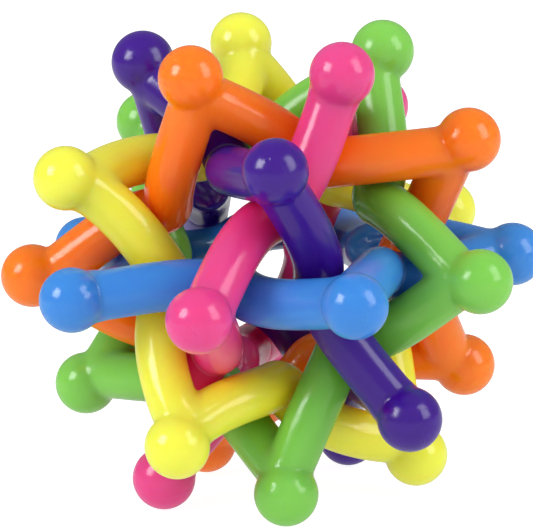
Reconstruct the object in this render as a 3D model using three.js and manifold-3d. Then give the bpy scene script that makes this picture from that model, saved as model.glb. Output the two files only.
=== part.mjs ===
// Woven knob ball: six one-colour bands, each bent into a five-armed star with a round knob on every
// arm. Every band passes through all five others, so the ball holds together without any fastener.
// Units are millimetres, +Z is up and the origin is the centre of the ball. The blue band lies level
// and the ball stands on the lowest knob of each of the other five.
import * as THREE from "three";
import { mergeVertices } from "three/addons/utils/BufferGeometryUtils.js";
import Module from "manifold-3d";

const wasm = await Module();
wasm.setup();

// ---- driving dimensions of one band ----
const ARMS = 5;
const KNOB_CENTRE_RADIUS = 44.2; // ball centre to the middle of a knob
const KNOB_RADIUS = 5.8;
const CORD_RADIUS = 4.5; // the round cord that the band is moulded from
const ARM_END_RADIUS = 40.7; // where the two legs of an arm meet, just inside the knob
const ELBOW_RADIUS = 23.1; // inner bends between neighbouring arms
const ELBOW_SETBACK = 2.2; // the elbow starts to bend this far from its corner
// A leg leaves its arm almost straight and curves mostly near the elbow. Its line is steered by two
// handles, a third and two thirds of the way down. Each handle rises off the band's plane, bulges away
// from the arm, and gives up some of its bulge for each degree that the arms lean.
const NEAR_HANDLE = { share: 1 / 3, rise: 1.0, bulge: 0.6, shift: 0.5 };
const FAR_HANDLE = { share: 2 / 3, rise: 2.7, bulge: 1.9, shift: 0.3 };

// ---- closing joint: the band is moulded open and shut with a peg in a socket after weaving ----
const SEAM_POSITION = 0.45; // fraction of the leg's length from the knob inwards, past the crotch
const SEAM_GAP = 0.3;
const PEG_RADIUS = 2.2;
const PEG_LENGTH = 6.0;
const PEG_ROOT = 2.0; // length of the peg that is one with the leg it grows from
const SOCKET_RADIUS = PEG_RADIUS + SEAM_GAP;
const SOCKET_LENGTH = PEG_LENGTH + SEAM_GAP;

// ---- facets ----
const CORD_SIDES = 12;
const VALLEY_STEPS = 8;
const KNOB_SIDES = 12;
const KNOB_ROWS = 7;
const PEG_SIDES = 12;
const CUTTER_RADIUS = CORD_RADIUS * 1.1;

// ---- arrangement: six fivefold axes of an icosahedron ----
const TILT = Math.atan(2); // angle between the axes of any two bands
const FIFTH_TURN = (2 * Math.PI) / ARMS;
const HALF_ARM = FIFTH_TURN / 2;
const QUARTER_TURN = Math.PI / 2;
const UP = new THREE.Vector3(0, 0, 1);

// step counts fifths of a turn about +Z. lean is how many degrees the arms of that soft band have
// been pushed round in its own plane while its elbows stay locked in the weave. closingArm is the arm
// with the closing joint, which could be any of the five.
const LEVEL_BAND = { name: "blue_ring", colour: 0x4a86d4, lean: -1.5, closingArm: 2 };
const SLANTED_BANDS = [
  { name: "green_ring", colour: 0x74bd52, step: 0, lean: 0, closingArm: 2 },
  { name: "yellow_ring", colour: 0xe4dc48, step: 1, lean: 5.5, closingArm: 0 },
  { name: "purple_ring", colour: 0x4d3886, step: 2, lean: 0, closingArm: 0 },
  { name: "orange_ring", colour: 0xee7730, step: 3, lean: 0, closingArm: 4 },
  { name: "pink_ring", colour: 0xea5489, step: 4, lean: -2, closingArm: 3 },
];

// ---- solids ----
function toManifold(geometry) {
  const bare = geometry.index ? geometry.toNonIndexed() : geometry.clone();
  bare.deleteAttribute("normal");
  bare.deleteAttribute("uv");
  const welded = mergeVertices(bare, 1e-4);
  return new wasm.Manifold(new wasm.Mesh({
    numProp: 3,
    vertProperties: new Float32Array(welded.attributes.position.array),
    triVerts: new Uint32Array(welded.index.array),
  }));
}

function toGeometry(solid) {
  const mesh = solid.getMesh();
  const geometry = new THREE.BufferGeometry();
  geometry.setAttribute("position", new THREE.BufferAttribute(new Float32Array(mesh.vertProperties), 3));
  geometry.setIndex(new THREE.BufferAttribute(new Uint32Array(mesh.triVerts), 1));
  const faceted = geometry.toNonIndexed();
  faceted.computeVertexNormals();
  return faceted;
}

// A round rod that starts at a point and runs along a direction.
function rodFrom(start, direction, radius, length, sides) {
  const geometry = new THREE.CylinderGeometry(radius, radius, length, sides);
  geometry.translate(0, length / 2, 0);
  const turn = new THREE.Quaternion().setFromUnitVectors(new THREE.Vector3(0, 1, 0), direction);
  geometry.applyQuaternion(turn);
  geometry.translate(start.x, start.y, start.z);
  return toManifold(geometry);
}

// ---- one band, drawn flat in the XY plane about +Z ----
function polar(radius, angle) {
  return new THREE.Vector3(radius * Math.cos(angle), radius * Math.sin(angle), 0);
}

function armAngle(arm, lean) {
  return arm * FIFTH_TURN + THREE.MathUtils.degToRad(lean);
}

// The centre line of a leg, from the end of its arm to the start of the elbow. side is +1 for the leg
// on the counter-clockwise side of the arm. That leg curves up and its twin curves down, which gives
// the cords that cross them the room they need.
function legCurve(arm, side, lean) {
  const armEnd = polar(ARM_END_RADIUS, armAngle(arm, lean));
  const elbow = polar(ELBOW_RADIUS, armAngle(arm, 0) + side * HALF_ARM);
  const along = elbow.clone().sub(armEnd).normalize();
  const outward = UP.clone().cross(along).multiplyScalar(-side);
  const handleAt = ({ share, rise, bulge, shift }) => armEnd.clone().lerp(elbow, share)
    .addScaledVector(UP, side * rise)
    .addScaledVector(outward, bulge - side * lean * shift);
  const near = handleAt(NEAR_HANDLE);
  const far = handleAt(FAR_HANDLE);
  const lastStretch = elbow.clone().sub(far).normalize();
  const elbowStart = elbow.clone().addScaledVector(lastStretch, -ELBOW_SETBACK);
  return new THREE.CubicBezierCurve3(armEnd, near, far, elbowStart);
}

function reversed(curve) {
  return new THREE.CubicBezierCurve3(curve.v3, curve.v2, curve.v1, curve.v0);
}

// The cord from the first knob down to the elbow and up to the next knob.
function valleyCurve(lean) {
  const down = legCurve(0, 1, lean);
  const up = reversed(legCurve(1, -1, lean));
  const elbow = polar(ELBOW_RADIUS, HALF_ARM);
  const path = new THREE.CurvePath();
  path.add(down);
  path.add(new THREE.QuadraticBezierCurve3(down.v3, elbow, up.v0));
  path.add(up);
  return path;
}

function cordOutline() {
  const outline = [];
  for (let i = 0; i < CORD_SIDES; i += 1) {
    const angle = (i * 2 * Math.PI) / CORD_SIDES;
    outline.push(new THREE.Vector2(CORD_RADIUS * Math.cos(angle), CORD_RADIUS * Math.sin(angle)));
  }
  return new THREE.Shape(outline);
}

function valleySolid(arm, lean) {
  const settings = { steps: VALLEY_STEPS, bevelEnabled: false, extrudePath: valleyCurve(lean) };
  const geometry = new THREE.ExtrudeGeometry(cordOutline(), settings);
  geometry.rotateZ(armAngle(arm, 0));
  return toManifold(geometry);
}

// The knob's poles lie along its arm, so one of them is buried in the cord.
function knobSolid(arm, lean) {
  const geometry = new THREE.SphereGeometry(KNOB_RADIUS, KNOB_SIDES, KNOB_ROWS);
  geometry.rotateZ(QUARTER_TURN);
  geometry.translate(KNOB_CENTRE_RADIUS, 0, 0);
  geometry.rotateZ(armAngle(arm, lean));
  return toManifold(geometry);
}

// Cuts the band across one leg, hollows the knob side and grows the peg from the leg side.
function withClosingJoint(solid, { closingArm, lean }) {
  const leg = legCurve(closingArm, 1, lean);
  const seam = leg.getPointAt(SEAM_POSITION);
  const inward = leg.getTangentAt(SEAM_POSITION);
  const outward = inward.clone().negate();
  const cut = rodFrom(seam, inward, CUTTER_RADIUS, SEAM_GAP, CORD_SIDES);
  const gapMiddle = seam.clone().addScaledVector(inward, SEAM_GAP / 2);
  const socket = rodFrom(gapMiddle, outward, SOCKET_RADIUS, SOCKET_LENGTH + SEAM_GAP / 2, PEG_SIDES);
  const pegRoot = seam.clone().addScaledVector(inward, PEG_ROOT);
  const peg = rodFrom(pegRoot, outward, PEG_RADIUS, PEG_ROOT + PEG_LENGTH, PEG_SIDES);
  return solid.subtract(cut).subtract(socket).add(peg);
}

function bandSolid(band) {
  let solid = knobSolid(0, band.lean);
  for (let arm = 1; arm < ARMS; arm += 1) {
    solid = solid.add(knobSolid(arm, band.lean));
  }
  for (let arm = 0; arm < ARMS; arm += 1) {
    solid = solid.add(valleySolid(arm, band.lean));
  }
  return withClosingJoint(solid, band);
}

// ---- the six bands in place ----
function softPlastic(colour) {
  return new THREE.MeshStandardMaterial({ color: colour, roughness: 0.3, metalness: 0 });
}

function bandMesh(band) {
  const mesh = new THREE.Mesh(toGeometry(bandSolid(band)), softPlastic(band.colour));
  mesh.name = band.name;
  return mesh;
}

function levelBand() {
  const mesh = bandMesh(LEVEL_BAND);
  mesh.rotation.z = -HALF_ARM;
  return mesh;
}

// A slanted band hinges up about its level direction, then swings round to its own fifth of a turn.
function slantedBand(band) {
  const swing = new THREE.Group();
  swing.name = `${band.name}_swing`;
  swing.rotation.z = band.step * FIFTH_TURN;
  const mesh = bandMesh(band);
  mesh.rotation.x = TILT;
  swing.add(mesh);
  return swing;
}

function wovenBall() {
  const ball = new THREE.Group();
  ball.name = "woven_knob_ball";
  ball.add(levelBand());
  for (const band of SLANTED_BANDS) {
    ball.add(slantedBand(band));
  }
  return ball;
}

export default wovenBall();
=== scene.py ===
"""Woven knob ball: looks. Six soft glossy bands, each a five-armed star with knobs, woven into a ball.

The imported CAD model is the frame. Every band here is one smooth closed surface that stands for its
faceted CAD node and rides on that node's body. Lengths in the constants are millimetres, as in the CAD.
"""
import math

import bmesh
import bpy
import numpy as np
from mathutils import Matrix, Vector


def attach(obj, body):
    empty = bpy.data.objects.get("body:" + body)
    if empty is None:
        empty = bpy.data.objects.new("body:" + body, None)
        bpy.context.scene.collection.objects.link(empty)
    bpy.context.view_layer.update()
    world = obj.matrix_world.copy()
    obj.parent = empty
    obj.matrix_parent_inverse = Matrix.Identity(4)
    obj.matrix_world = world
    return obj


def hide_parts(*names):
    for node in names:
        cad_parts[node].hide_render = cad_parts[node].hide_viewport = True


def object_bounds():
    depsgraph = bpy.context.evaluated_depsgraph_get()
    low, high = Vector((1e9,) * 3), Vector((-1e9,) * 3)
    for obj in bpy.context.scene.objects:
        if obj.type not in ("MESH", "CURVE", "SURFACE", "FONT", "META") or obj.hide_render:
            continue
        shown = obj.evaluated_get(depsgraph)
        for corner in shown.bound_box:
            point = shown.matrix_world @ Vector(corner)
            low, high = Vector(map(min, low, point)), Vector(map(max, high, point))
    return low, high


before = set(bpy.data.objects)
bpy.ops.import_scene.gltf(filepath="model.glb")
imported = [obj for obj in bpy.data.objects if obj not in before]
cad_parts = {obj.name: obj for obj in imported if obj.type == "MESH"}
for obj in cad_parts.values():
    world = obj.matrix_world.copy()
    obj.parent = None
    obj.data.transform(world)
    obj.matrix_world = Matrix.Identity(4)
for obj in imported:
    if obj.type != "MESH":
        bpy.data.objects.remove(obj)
START_LOW, START_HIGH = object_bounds()

# ---- one band, the same driving dimensions as the CAD ----
MM = 0.001
ARMS = 5
KNOB_CENTRE_RADIUS = 44.2
KNOB_RADIUS = 5.8
CORD_RADIUS = 4.5
ARM_END_RADIUS = 40.7
ELBOW_RADIUS = 23.1
ELBOW_SETBACK = 2.2
NEAR_RISE = 1.0
FAR_RISE = 2.7
NEAR_BULGE = 0.6
FAR_BULGE = 1.9
NEAR_SHIFT = 0.5
FAR_SHIFT = 0.3
SEAM_POSITION = 0.45
GATE_ASIDE = -0.10  # the gate mark is this far to one side of a knob's tip, and this far down
GATE_DOWN = -0.22

# ---- surface making ----
VOXEL = 0.42  # grid of the surface, before it is pulled onto the exact shape
CROTCH_FILLET = 1.1  # where the two legs of an arm run together
KNOB_FILLET = 0.55  # the tight crease round a knob
SEAM_GROOVE_DEPTH = 0.14
SEAM_GROOVE_WIDTH = 0.5
SEAM_REACH = 3  # the joint marks the cord no further than this along it
PULLS = 4  # how many times each point is pulled onto the exact shape
BATCH = 8000  # points worked on at once
FAR_AWAY = 9.0  # stands for any distance too large to matter
CREVICE_SHADE_AND_BOUNCE_REACH = 3.6  # how far from its neighbours a band's painted crevice shade and bounce light reach

FIFTH_TURN = 2 * math.pi / ARMS
HALF_ARM = FIFTH_TURN / 2
TILT = math.atan(2)


# ------------------------------------------------------------------ band shape
def polar(radius, angle):
    return np.array([radius * math.cos(angle), radius * math.sin(angle), 0.0])


def bezier(corners, count):
    """Points along the Bezier curve with those control points."""
    t = np.linspace(0, 1, count)[:, None]
    rows = [np.broadcast_to(np.asarray(corner, float), (count, 3)) for corner in corners]
    while len(rows) > 1:
        rows = [(1 - t) * a + t * b for a, b in zip(rows, rows[1:])]
    return rows[0]


def leg_corners(arm, side, lean):
    """Start, two handles and end of a leg's centre line, from the end of its arm to its elbow."""
    arm_end = polar(ARM_END_RADIUS, arm * FIFTH_TURN + math.radians(lean))
    elbow = polar(ELBOW_RADIUS, arm * FIFTH_TURN + side * HALF_ARM)
    along = (elbow - arm_end) / np.linalg.norm(elbow - arm_end)
    outward = np.cross([0, 0, 1], along) * -side
    up = np.array([0, 0, side])
    near = arm_end + (elbow - arm_end) / 3 + up * NEAR_RISE
    near = near + outward * (NEAR_BULGE - side * lean * NEAR_SHIFT)
    far = arm_end + (elbow - arm_end) * 2 / 3 + up * FAR_RISE
    far = far + outward * (FAR_BULGE - side * lean * FAR_SHIFT)
    last = (elbow - far) / np.linalg.norm(elbow - far)
    return arm_end, near, far, elbow - last * ELBOW_SETBACK


def valley_points(arm, lean, per_leg=26, per_elbow=9):
    """The centre line from one knob down to the elbow and up to the next knob."""
    down = leg_corners(arm, 1, lean)
    up = leg_corners(arm + 1, -1, lean)[::-1]
    elbow = polar(ELBOW_RADIUS, arm * FIFTH_TURN + HALF_ARM)
    bend = bezier((down[-1], elbow, up[0]), per_elbow)
    return np.concatenate([bezier(down, per_leg)[:-1], bend[:-1], bezier(up, per_leg)])


def to_segments(p, line):
    """Distance from each point to a polyline, and the nearest point on it."""
    a, ab = line[:-1], np.diff(line, axis=0)
    ap = p[:, None, :] - a[None]
    t = np.clip((ap * ab[None]).sum(2) / (ab * ab).sum(1)[None], 0, 1)
    near = a[None] + t[..., None] * ab[None]
    d = np.linalg.norm(p[:, None, :] - near, axis=2)
    best = d.argmin(1)
    rows = np.arange(len(p))
    return d[rows, best], near[rows, best]


def smooth_min(a, grad_a, b, grad_b, k):
    """Smooth union of two distances, with its gradient."""
    h = np.clip(0.5 + 0.5 * (b - a) / k, 0, 1)
    value = b * (1 - h) + a * h - k * h * (1 - h)
    return value, grad_b * (1 - h[:, None]) + grad_a * h[:, None]


def band_distance(p, lean):
    """Signed distance to the band's surface near it, its gradient, and the height over the centre
    line. Every arm is alike, so each point is turned to the first arm and turned back at the end."""
    start = math.radians(lean) / 2
    turn = np.round((np.arctan2(p[:, 1], p[:, 0]) - start) / FIFTH_TURN) * FIFTH_TURN
    c, s = np.cos(turn), np.sin(turn)
    q = np.stack([p[:, 0] * c + p[:, 1] * s, -p[:, 0] * s + p[:, 1] * c, p[:, 2]], 1)
    left, left_near = to_segments(q, valley_points(0, lean))
    right, right_near = to_segments(q, valley_points(-1, lean))
    knob_centre = polar(KNOB_CENTRE_RADIUS, math.radians(lean))
    knob = np.linalg.norm(q - knob_centre, axis=1)
    value, grad = smooth_min(
        left - CORD_RADIUS, (q - left_near) / left[:, None],
        right - CORD_RADIUS, (q - right_near) / right[:, None], CROTCH_FILLET)
    value, grad = smooth_min(
        knob - KNOB_RADIUS, (q - knob_centre) / knob[:, None], value, grad, KNOB_FILLET)
    back = np.stack([grad[:, 0] * c - grad[:, 1] * s, grad[:, 0] * s + grad[:, 1] * c, grad[:, 2]], 1)
    nearest = np.where((left < right)[:, None], left_near, right_near)
    return value, back, q[:, 2] - nearest[:, 2]


def tube(line, radius, sides=20):
    """Vertices and faces of a closed tube round a polyline."""
    tangent = np.gradient(line, axis=0)
    tangent /= np.linalg.norm(tangent, axis=1)[:, None]
    side = np.cross(tangent, [0, 0, 1.0])
    side /= np.linalg.norm(side, axis=1)[:, None]
    up = np.cross(side, tangent)
    angle = np.arange(sides) * 2 * math.pi / sides
    ring = np.cos(angle)[None, :, None] * side[:, None] + np.sin(angle)[None, :, None] * up[:, None]
    verts = (line[:, None] + radius * ring).reshape(-1, 3)
    faces = []
    for i in range(len(line) - 1):
        for j in range(sides):
            k = (j + 1) % sides
            faces.append((i * sides + j, i * sides + k, (i + 1) * sides + k, (i + 1) * sides + j))
    faces.append(tuple(range(sides - 1, -1, -1)))
    faces.append(tuple((len(line) - 1) * sides + j for j in range(sides)))
    return verts, faces


def knob_centres(lean):
    angles = [arm * FIFTH_TURN + math.radians(lean) for arm in range(ARMS)]
    return np.array([polar(KNOB_CENTRE_RADIUS, angle) for angle in angles])


def rough_band(lean):
    """Overlapping tubes and knobs in one mesh, to be remeshed into one skin."""
    verts, faces = [], []
    for arm, centre in enumerate(knob_centres(lean)):
        for v, f in (tube(valley_points(arm, lean)[::2], CORD_RADIUS), ball(centre)):
            base = sum(len(x) for x in verts)
            verts.append(v)
            faces += [tuple(base + i for i in face) for face in f]
    mesh = bpy.data.meshes.new("rough_band")
    mesh.from_pydata(np.concatenate(verts).tolist(), [], faces)
    mesh.validate()
    return mesh


def ball(centre, sides=28, rows=18):
    """Vertices and faces of a knob."""
    verts, faces = [centre + [0, 0, KNOB_RADIUS]], []
    for i in range(1, rows):
        a = math.pi * i / rows
        for j in range(sides):
            b = 2 * math.pi * j / sides
            way = np.array([math.sin(a) * math.cos(b), math.sin(a) * math.sin(b), math.cos(a)])
            verts.append(centre + KNOB_RADIUS * way)
    verts.append(centre - [0, 0, KNOB_RADIUS])
    last = len(verts) - 1
    for j in range(sides):
        k = (j + 1) % sides
        faces.append((0, 1 + j, 1 + k))
        faces.append((last, last - 1 - j, last - 1 - k))
        for i in range(rows - 2):
            a, b = 1 + i * sides, 1 + (i + 1) * sides
            faces.append((a + j, b + j, b + k, a + k))
    return np.array(verts), faces


def keep_largest_part(mesh):
    """Deletes the tiny loose bubbles that remeshing can leave inside a crotch."""
    work = bmesh.new()
    work.from_mesh(mesh)
    unseen = set(work.verts)
    parts = []
    while unseen:
        part = [unseen.pop()]
        for vert in part:
            for edge in vert.link_edges:
                other = edge.other_vert(vert)
                if other in unseen:
                    unseen.remove(other)
                    part.append(other)
        parts.append(part)
    parts.sort(key=len)
    for part in parts[:-1]:
        bmesh.ops.delete(work, geom=part, context="VERTS")
    work.to_mesh(mesh)
    work.free()


def centre_line(lean, place):
    """Points every 2 mm or so along the middle of a whole band, in the ball's frame."""
    valleys = [valley_points(arm, lean, per_leg=12, per_elbow=4) for arm in range(ARMS)]
    return np.concatenate(valleys) @ np.array(place.to_3x3()).T


def crevice_shade_and_bounce(p, others):
    """Share of painted crevice shade and bounce light: 1 where a point touches another band, falling to
    nothing well away from them all.
    """
    gap = np.empty(len(p))
    size = (others**2).sum(1)
    for start in range(0, len(p), BATCH):
        part = slice(start, start + BATCH)
        square = (p[part]**2).sum(1)[:, None] + size[None] - 2 * p[part] @ others.T
        gap[part] = np.sqrt(np.maximum(square.min(1), 0)) - CORD_RADIUS
    return np.exp(-np.maximum(gap, 0) / CREVICE_SHADE_AND_BOUNCE_REACH)


def band_mesh(lean, closing_arm, place, others):
    """The band's smooth skin in its place, in metres, with its shading attributes."""
    rough = bpy.data.objects.new("rough_band", rough_band(lean))
    bpy.context.scene.collection.objects.link(rough)
    remesh = rough.modifiers.new("skin", "REMESH")
    remesh.mode = "VOXEL"
    remesh.voxel_size = VOXEL
    remesh.use_smooth_shade = True
    bpy.context.view_layer.update()
    remeshed = rough.evaluated_get(bpy.context.evaluated_depsgraph_get())
    mesh = bpy.data.meshes.new_from_object(remeshed)
    bpy.data.objects.remove(rough)
    keep_largest_part(mesh)
    co = np.zeros(len(mesh.vertices) * 3)
    mesh.vertices.foreach_get("co", co)
    p = co.reshape(-1, 3)
    height = np.zeros(len(p))
    slope = np.zeros((len(p), 3))
    for _ in range(PULLS):
        for start in range(0, len(p), BATCH):
            part = slice(start, start + BATCH)
            value, slope[part], height[part] = band_distance(p[part], lean)
            p[part] -= slope[part] * (value / np.maximum((slope[part]**2).sum(1), 0.25))[:, None]
    seam = seam_distance(p, lean, closing_arm)
    p -= slope * (SEAM_GROOVE_DEPTH * np.exp(-(seam / SEAM_GROOVE_WIDTH)**2))[:, None]
    placed = p @ np.array(place.to_3x3()).T
    mesh.vertices.foreach_set("co", (placed * MM).ravel())
    # painted crevice shade and bounce light: each point's share grows the closer it lies to the other
    # bands
    store(mesh, "crevice_shade_and_bounce", crevice_shade_and_bounce(placed, others))
    store(mesh, "parting_mm", height)
    store(mesh, "seam_mm", seam)
    store(mesh, "gate_mm", gate_distance(p, lean))
    layer = mesh.attributes.new("band_m", "FLOAT_VECTOR", "POINT")
    layer.data.foreach_set("vector", (p * MM).astype(np.float32).ravel())
    mesh.polygons.foreach_set("use_smooth", [True] * len(mesh.polygons))
    mesh.update()
    return mesh


def store(mesh, name, values):
    layer = mesh.attributes.new(name, "FLOAT", "POINT")
    layer.data.foreach_set("value", np.asarray(values, np.float32))


def seam_distance(p, lean, closing_arm, steps=200):
    """Signed distance from the closing joint's plane, and FAR_AWAY elsewhere."""
    leg = bezier(leg_corners(closing_arm, 1, lean), steps)
    run = np.concatenate([[0], np.cumsum(np.linalg.norm(np.diff(leg, axis=0), axis=1))])
    i = int(np.searchsorted(run, SEAM_POSITION * run[-1]))
    tangent = leg[i + 1] - leg[i - 1]
    tangent /= np.linalg.norm(tangent)
    off = p - leg[i]
    along = off @ tangent
    across = np.linalg.norm(off - along[:, None] * tangent, axis=1)
    at_joint = (across < CORD_RADIUS * 1.15) & (np.abs(along) < SEAM_REACH)
    return np.where(at_joint, along, FAR_AWAY)


def gate_distance(p, lean):
    """Distance from the gate mark of the nearest knob, a little to one side of its tip."""
    nearest = np.full(len(p), FAR_AWAY)
    for centre in knob_centres(lean):
        outward = centre / np.linalg.norm(centre)
        way = outward + GATE_ASIDE * np.cross([0, 0, 1], outward) + np.array([0, 0, GATE_DOWN])
        mark = centre + way / np.linalg.norm(way) * KNOB_RADIUS
        nearest = np.minimum(nearest, np.linalg.norm(p - mark, axis=1))
    return nearest


# ------------------------------------------------------------------ materials
# Widths of the fine marks, in millimetres.
PARTING_WIDTH = 0.11
SEAM_WIDTH = 0.13
SCAR_RADIUS = 0.55
SCAR_RIM = 0.14
SCAR_PIT = 0.3

# Heights of the skin's relief, in millimetres.
RIPPLE_HEIGHT = 0.05
GRAIN_HEIGHT = 0.028
PARTING_HEIGHT = 0.0004
PARTING_HEIGHT_AT_TIP = 0.020
SCAR_HEIGHT = 0.05
SEAM_HEIGHT = -0.06

# The tip of a knob lies between these distances from the ball's centre, in metres.
TIP_STARTS = 0.0484
TIP_FULL = 0.0494

BELL_BASE = 0.3678794  # 1 / e
BRIGHTEST_SRGB = 255
SEED_STEP = 5.3


def linear(r, g, b):
    """sRGB 0-255 to scene linear."""
    out = []
    for v in (r / BRIGHTEST_SRGB, g / BRIGHTEST_SRGB, b / BRIGHTEST_SRGB):
        out.append(v / 12.92 if v <= 0.04045 else ((v + 0.055) / 1.055) ** 2.4)
    return (*out, 1.0)


class Graph:
    """Short ways to add the nodes of one material."""

    def __init__(self, tree, seed):
        self.tree = tree
        self.seed = seed
        self.place = self.add("ShaderNodeAttribute")
        self.place.attribute_name = "band_m"

    def add(self, kind):
        return self.tree.nodes.new(kind)

    def put(self, value, socket):
        """Links a socket, or sets a plain value."""
        if isinstance(value, bpy.types.NodeSocket):
            self.tree.links.new(value, socket)
        else:
            socket.default_value = value

    def math(self, operation, *values):
        node = self.add("ShaderNodeMath")
        node.operation = operation
        for value, socket in zip(values, node.inputs):
            self.put(value, socket)
        return node.outputs[0]

    def noise(self, scale, detail, rough=0.5, w=0.0):
        node = self.add("ShaderNodeTexNoise")
        node.noise_dimensions = "4D"
        node.inputs["Scale"].default_value = scale
        node.inputs["Detail"].default_value = detail
        node.inputs["Roughness"].default_value = rough
        node.inputs["W"].default_value = self.seed + w
        self.put(self.place.outputs["Vector"], node.inputs["Vector"])
        return node.outputs["Fac"]

    def attribute(self, label):
        node = self.add("ShaderNodeAttribute")
        node.attribute_name = label
        return node.outputs["Fac"]

    def bell(self, value, width):
        """1 at zero, falling to nothing over about that width."""
        ratio = self.math("DIVIDE", value, width)
        return self.math("POWER", BELL_BASE, self.math("MULTIPLY", ratio, ratio))

    def mix(self, share, first, second):
        node = self.add("ShaderNodeMix")
        node.data_type = "RGBA"
        self.put(share, node.inputs["Factor"])
        ends = [socket for socket in node.inputs if socket.type == "RGBA"]
        self.put(first, ends[0])
        self.put(second, ends[1])
        return [socket for socket in node.outputs if socket.type == "RGBA"][0]


def skin_colour(g, colour, deep, crevice_shade_and_bounce_tone, seam):
    """Soft mottling, deeper at the closing joint, with painted crevice shade and bounce light where
    other bands are close.
    """
    cloud = g.noise(70, 3)
    mottle = g.noise(320, 2, w=3)
    tone = g.math("MULTIPLY_ADD", cloud, 0.9, g.math("MULTIPLY", mottle, 0.25))
    tone = g.math("SUBTRACT", tone, 0.3)
    mottled = g.mix(tone, colour, deep)
    # painted shade and bounce light: near other bands the colour moves to a darker, or a brighter and
    # more saturated, tone
    mottled = g.mix(g.attribute("crevice_shade_and_bounce"), mottled, crevice_shade_and_bounce_tone)
    return g.mix(g.math("MULTIPLY", seam, 0.3), mottled, deep)


def parting_height(g):
    """The mould line is polished away except over the tips of the knobs."""
    length = g.add("ShaderNodeVectorMath")
    length.operation = "LENGTH"
    g.put(g.place.outputs["Vector"], length.inputs[0])
    tip = g.add("ShaderNodeMapRange")
    tip.inputs["From Min"].default_value = TIP_STARTS
    tip.inputs["From Max"].default_value = TIP_FULL
    tip.inputs["To Min"].default_value = PARTING_HEIGHT
    tip.inputs["To Max"].default_value = PARTING_HEIGHT_AT_TIP
    g.put(length.outputs["Value"], tip.inputs["Value"])
    return tip.outputs["Result"]


def skin_relief(g, parting, seam):
    """Ripple, grain, mould line, closing joint, and a small round gate scar on each knob."""
    away = g.attribute("gate_mm")
    rim = g.bell(g.math("SUBTRACT", away, SCAR_RADIUS), SCAR_RIM)
    scar = g.math("SUBTRACT", rim, g.math("MULTIPLY", g.bell(away, SCAR_PIT), 0.6))
    height = g.math("MULTIPLY", g.noise(200, 1, w=7), RIPPLE_HEIGHT)
    height = g.math("MULTIPLY_ADD", g.noise(1500, 2, w=11), GRAIN_HEIGHT, height)
    height = g.math("MULTIPLY_ADD", parting, parting_height(g), height)
    height = g.math("MULTIPLY_ADD", scar, SCAR_HEIGHT, height)
    height = g.math("MULTIPLY_ADD", seam, SEAM_HEIGHT, height)
    bump = g.add("ShaderNodeBump")
    bump.inputs["Strength"].default_value = 1.0
    bump.inputs["Distance"].default_value = MM
    g.put(height, bump.inputs["Height"])
    return bump.outputs["Normal"]


def soft_plastic(name, colour, deep, crevice_shade_and_bounce_tone, seed):
    """Glossy soft plastic that lets a little light in."""
    mat = bpy.data.materials.new(name)
    mat.use_nodes = True
    mat.node_tree.nodes.clear()
    g = Graph(mat.node_tree, seed)
    out = g.add("ShaderNodeOutputMaterial")
    bsdf = g.add("ShaderNodeBsdfPrincipled")
    g.put(bsdf.outputs["BSDF"], out.inputs["Surface"])
    parting = g.bell(g.attribute("parting_mm"), PARTING_WIDTH)
    seam = g.bell(g.attribute("seam_mm"), SEAM_WIDTH)
    g.put(skin_colour(g, colour, deep, crevice_shade_and_bounce_tone, seam), bsdf.inputs["Base Color"])
    rough = g.math("MULTIPLY_ADD", g.noise(110, 4, 0.6, w=17), 0.14, 0.11)
    g.put(g.math("MULTIPLY_ADD", parting, 0.03, rough), bsdf.inputs["Roughness"])
    g.put(skin_relief(g, parting, seam), bsdf.inputs["Normal"])
    # Red light goes furthest into the plastic, and each colour lets its own light through best.
    bsdf.inputs["IOR"].default_value = 1.5
    bsdf.inputs["Subsurface Weight"].default_value = 1.0
    bsdf.inputs["Subsurface Scale"].default_value = 0.008
    bsdf.inputs["Subsurface Radius"].default_value = tuple(
        reach * (0.15 + 0.85 * v) for reach, v in zip((1.15, 0.75, 0.6), colour))
    return mat


# name, colour, deeper tone, tone of painted crevice shade and bounce light near other bands, turn about
# X, turn about Z, lean in degrees, arm with the closing joint
BANDS = [
    ("blue", (58, 134, 204), (46, 120, 194), (36, 98, 200), 0.0, -HALF_ARM, -1.5, 2),
    ("green", (126, 192, 84), (108, 178, 66), (96, 164, 34), TILT, 0.0, 0.0, 2),
    ("yellow", (214, 220, 78), (210, 210, 60), (255, 218, 10), TILT, FIFTH_TURN, 5.5, 0),
    ("purple", (60, 12, 134), (50, 8, 116), (56, 4, 128), TILT, 2 * FIFTH_TURN, 0.0, 0),
    ("orange", (226, 124, 18), (226, 106, 14), (255, 102, 8), TILT, 3 * FIFTH_TURN, 0.0, 4),
    ("pink", (206, 72, 138), (206, 50, 118), (240, 16, 100), TILT, 4 * FIFTH_TURN, -2.0, 3),
]


def make_bands():
    places = [Matrix.Rotation(band[5], 4, "Z") @ Matrix.Rotation(band[4], 4, "X") for band in BANDS]
    lines = [centre_line(band[6], place) for band, place in zip(BANDS, places)]
    for i, (name, colour, deep, crevice_shade_and_bounce_tone, _, _, lean, closing_arm) in enumerate(BANDS):
        others = np.concatenate(lines[:i] + lines[i + 1:])
        skin = band_mesh(lean, closing_arm, places[i], others)
        skin.name = f"{name}_band_skin"
        obj = bpy.data.objects.new(skin.name, skin)
        bpy.context.scene.collection.objects.link(obj)
        tones = [linear(*tone) for tone in (colour, deep, crevice_shade_and_bounce_tone)]
        skin.materials.clear()
        skin.materials.append(soft_plastic(f"{name}_soft_plastic", *tones, i * SEED_STEP))
        bpy.context.view_layer.update()
        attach(obj, f"{name}_band")
        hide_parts(f"{name}_ring")


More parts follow.
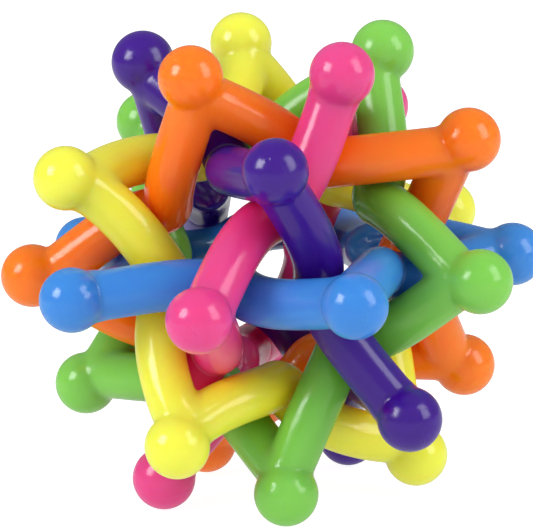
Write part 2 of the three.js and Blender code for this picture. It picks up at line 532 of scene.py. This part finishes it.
# ------------------------------------------------------------------ camera, light and floor
CAMERA_AZIMUTH = 34.3
CAMERA_ELEVATION = 10.7
CAMERA_ROLL = -2.4
CAMERA_DISTANCE = 0.5997
LENS = 220.0
SHIFT_X = -0.0117
SHIFT_Y = -0.0034
FILL_BEHIND = 0.58
FILL_IN_FRONT = 1.00
MIRRORED_FILL = 0.45
FLOOR_SHOWN = 0.90
FLOOR_CAST = 0.75
FLOOR_REACH = 6.0
FLOOR_GAP = 0.0001  # the floor lies this far under the ball
FLOOR_GREY = 0.35


def camera_axes():
    a, e, r = map(math.radians, (CAMERA_AZIMUTH, CAMERA_ELEVATION, CAMERA_ROLL))
    back = Vector((math.sin(a) * math.cos(e), -math.cos(a) * math.cos(e), math.sin(e)))
    level = Vector((math.cos(a), math.sin(a), 0))
    up = back.cross(level)
    right = level * math.cos(r) + up * math.sin(r)
    return right, back.cross(right), back


def make_camera():
    right, up, back = camera_axes()
    data = bpy.data.cameras.new("camera")
    data.sensor_width = 36
    data.lens = LENS
    data.shift_x = SHIFT_X
    data.shift_y = SHIFT_Y
    cam = bpy.data.objects.new("camera", data)
    bpy.context.scene.collection.objects.link(cam)
    cam.matrix_world = Matrix((
        (right.x, up.x, back.x, back.x * CAMERA_DISTANCE),
        (right.y, up.y, back.y, back.y * CAMERA_DISTANCE),
        (right.z, up.z, back.z, back.z * CAMERA_DISTANCE),
        (0, 0, 0, 1)))
    bpy.context.scene.camera = cam


def softbox(name, direction, distance, size, power):
    """An area light seen from the ball along a direction given in the camera's right, up and back."""
    right, up, back = camera_axes()
    way = (right * direction[0] + up * direction[1] + back * direction[2]).normalized()
    data = bpy.data.lights.new(name, "AREA")
    data.shape = "RECTANGLE"
    data.size, data.size_y = size
    data.energy = power
    lamp = bpy.data.objects.new(name, data)
    bpy.context.scene.collection.objects.link(lamp)
    lamp.location = way * distance
    lamp.rotation_mode = "QUATERNION"
    lamp.rotation_quaternion = way.to_track_quat("Z", "Y")


def ray_strength(nt, shown, cast):
    """A light's strength: one number where the camera looks at it, another where it lights the ball,
    and a share of that where the ball's gloss mirrors it."""
    path = nt.nodes.new("ShaderNodeLightPath")
    share = nt.nodes.new("ShaderNodeMapRange")
    share.inputs["To Min"].default_value = 1.0
    share.inputs["To Max"].default_value = MIRRORED_FILL
    nt.links.new(path.outputs["Is Glossy Ray"], share.inputs["Value"])
    lit = nt.nodes.new("ShaderNodeMath")
    lit.operation = "MULTIPLY"
    nt.links.new(share.outputs["Result"], lit.inputs[0])
    if isinstance(cast, float):
        lit.inputs[1].default_value = cast
    else:
        nt.links.new(cast, lit.inputs[1])
    level = nt.nodes.new("ShaderNodeMapRange")
    level.inputs["To Max"].default_value = shown
    nt.links.new(lit.outputs[0], level.inputs["To Min"])
    nt.links.new(path.outputs["Is Camera Ray"], level.inputs["Value"])
    return level.outputs["Result"]


def make_lights():
    softbox("left_softbox", (-0.763, 0.382, 0.521), 1.0, (0.42, 0.45), 4.9)
    softbox("right_softbox", (0.756, 0.432, 0.492), 1.0, (0.50, 0.80), 4.5)
    world = bpy.data.worlds.new("white_studio")
    world.use_nodes = True
    nt = world.node_tree
    background = nt.nodes["Background"]
    background.inputs["Color"].default_value = (1, 1, 1, 1)
    # The studio's fill comes mostly from the front.
    way = nt.nodes.new("ShaderNodeTexCoord")
    front = nt.nodes.new("ShaderNodeVectorMath")
    front.operation = "DOT_PRODUCT"
    front.inputs[1].default_value = camera_axes()[2]
    nt.links.new(way.outputs["Generated"], front.inputs[0])
    fill = nt.nodes.new("ShaderNodeMapRange")
    fill.inputs["From Min"].default_value = -1
    fill.inputs["From Max"].default_value = 1
    fill.inputs["To Min"].default_value = FILL_BEHIND
    fill.inputs["To Max"].default_value = FILL_IN_FRONT
    nt.links.new(front.outputs["Value"], fill.inputs["Value"])
    nt.links.new(ray_strength(nt, 1.0, fill.outputs["Result"]), background.inputs["Strength"])
    bpy.context.scene.world = world


def make_floor():
    mesh = bpy.data.meshes.new("floor")
    far, z = FLOOR_REACH, START_LOW[2] - FLOOR_GAP
    corners = [(-far, -far, z), (far, -far, z), (far, far, z), (-far, far, z)]
    mesh.from_pydata(corners, [], [(0, 1, 2, 3)])
    floor = bpy.data.objects.new("floor", mesh)
    bpy.context.scene.collection.objects.link(floor)
    mat = bpy.data.materials.new("white_floor")
    mat.use_nodes = True
    nt = mat.node_tree
    bsdf = nt.nodes["Principled BSDF"]
    bsdf.inputs["Base Color"].default_value = (FLOOR_GREY, FLOOR_GREY, FLOOR_GREY, 1)
    bsdf.inputs["Roughness"].default_value = 0.9
    bsdf.inputs["Specular IOR Level"].default_value = 0.0
    bsdf.inputs["Emission Color"].default_value = (1, 1, 1, 1)
    nt.links.new(ray_strength(nt, FLOOR_SHOWN, FLOOR_CAST), bsdf.inputs["Emission Strength"])
    mesh.materials.append(mat)


make_camera()
make_bands()
make_lights()
make_floor()
scene = bpy.context.scene
scene.view_settings.view_transform = "Standard"
scene.view_settings.look = "None"
scene.cycles.use_denoising = True
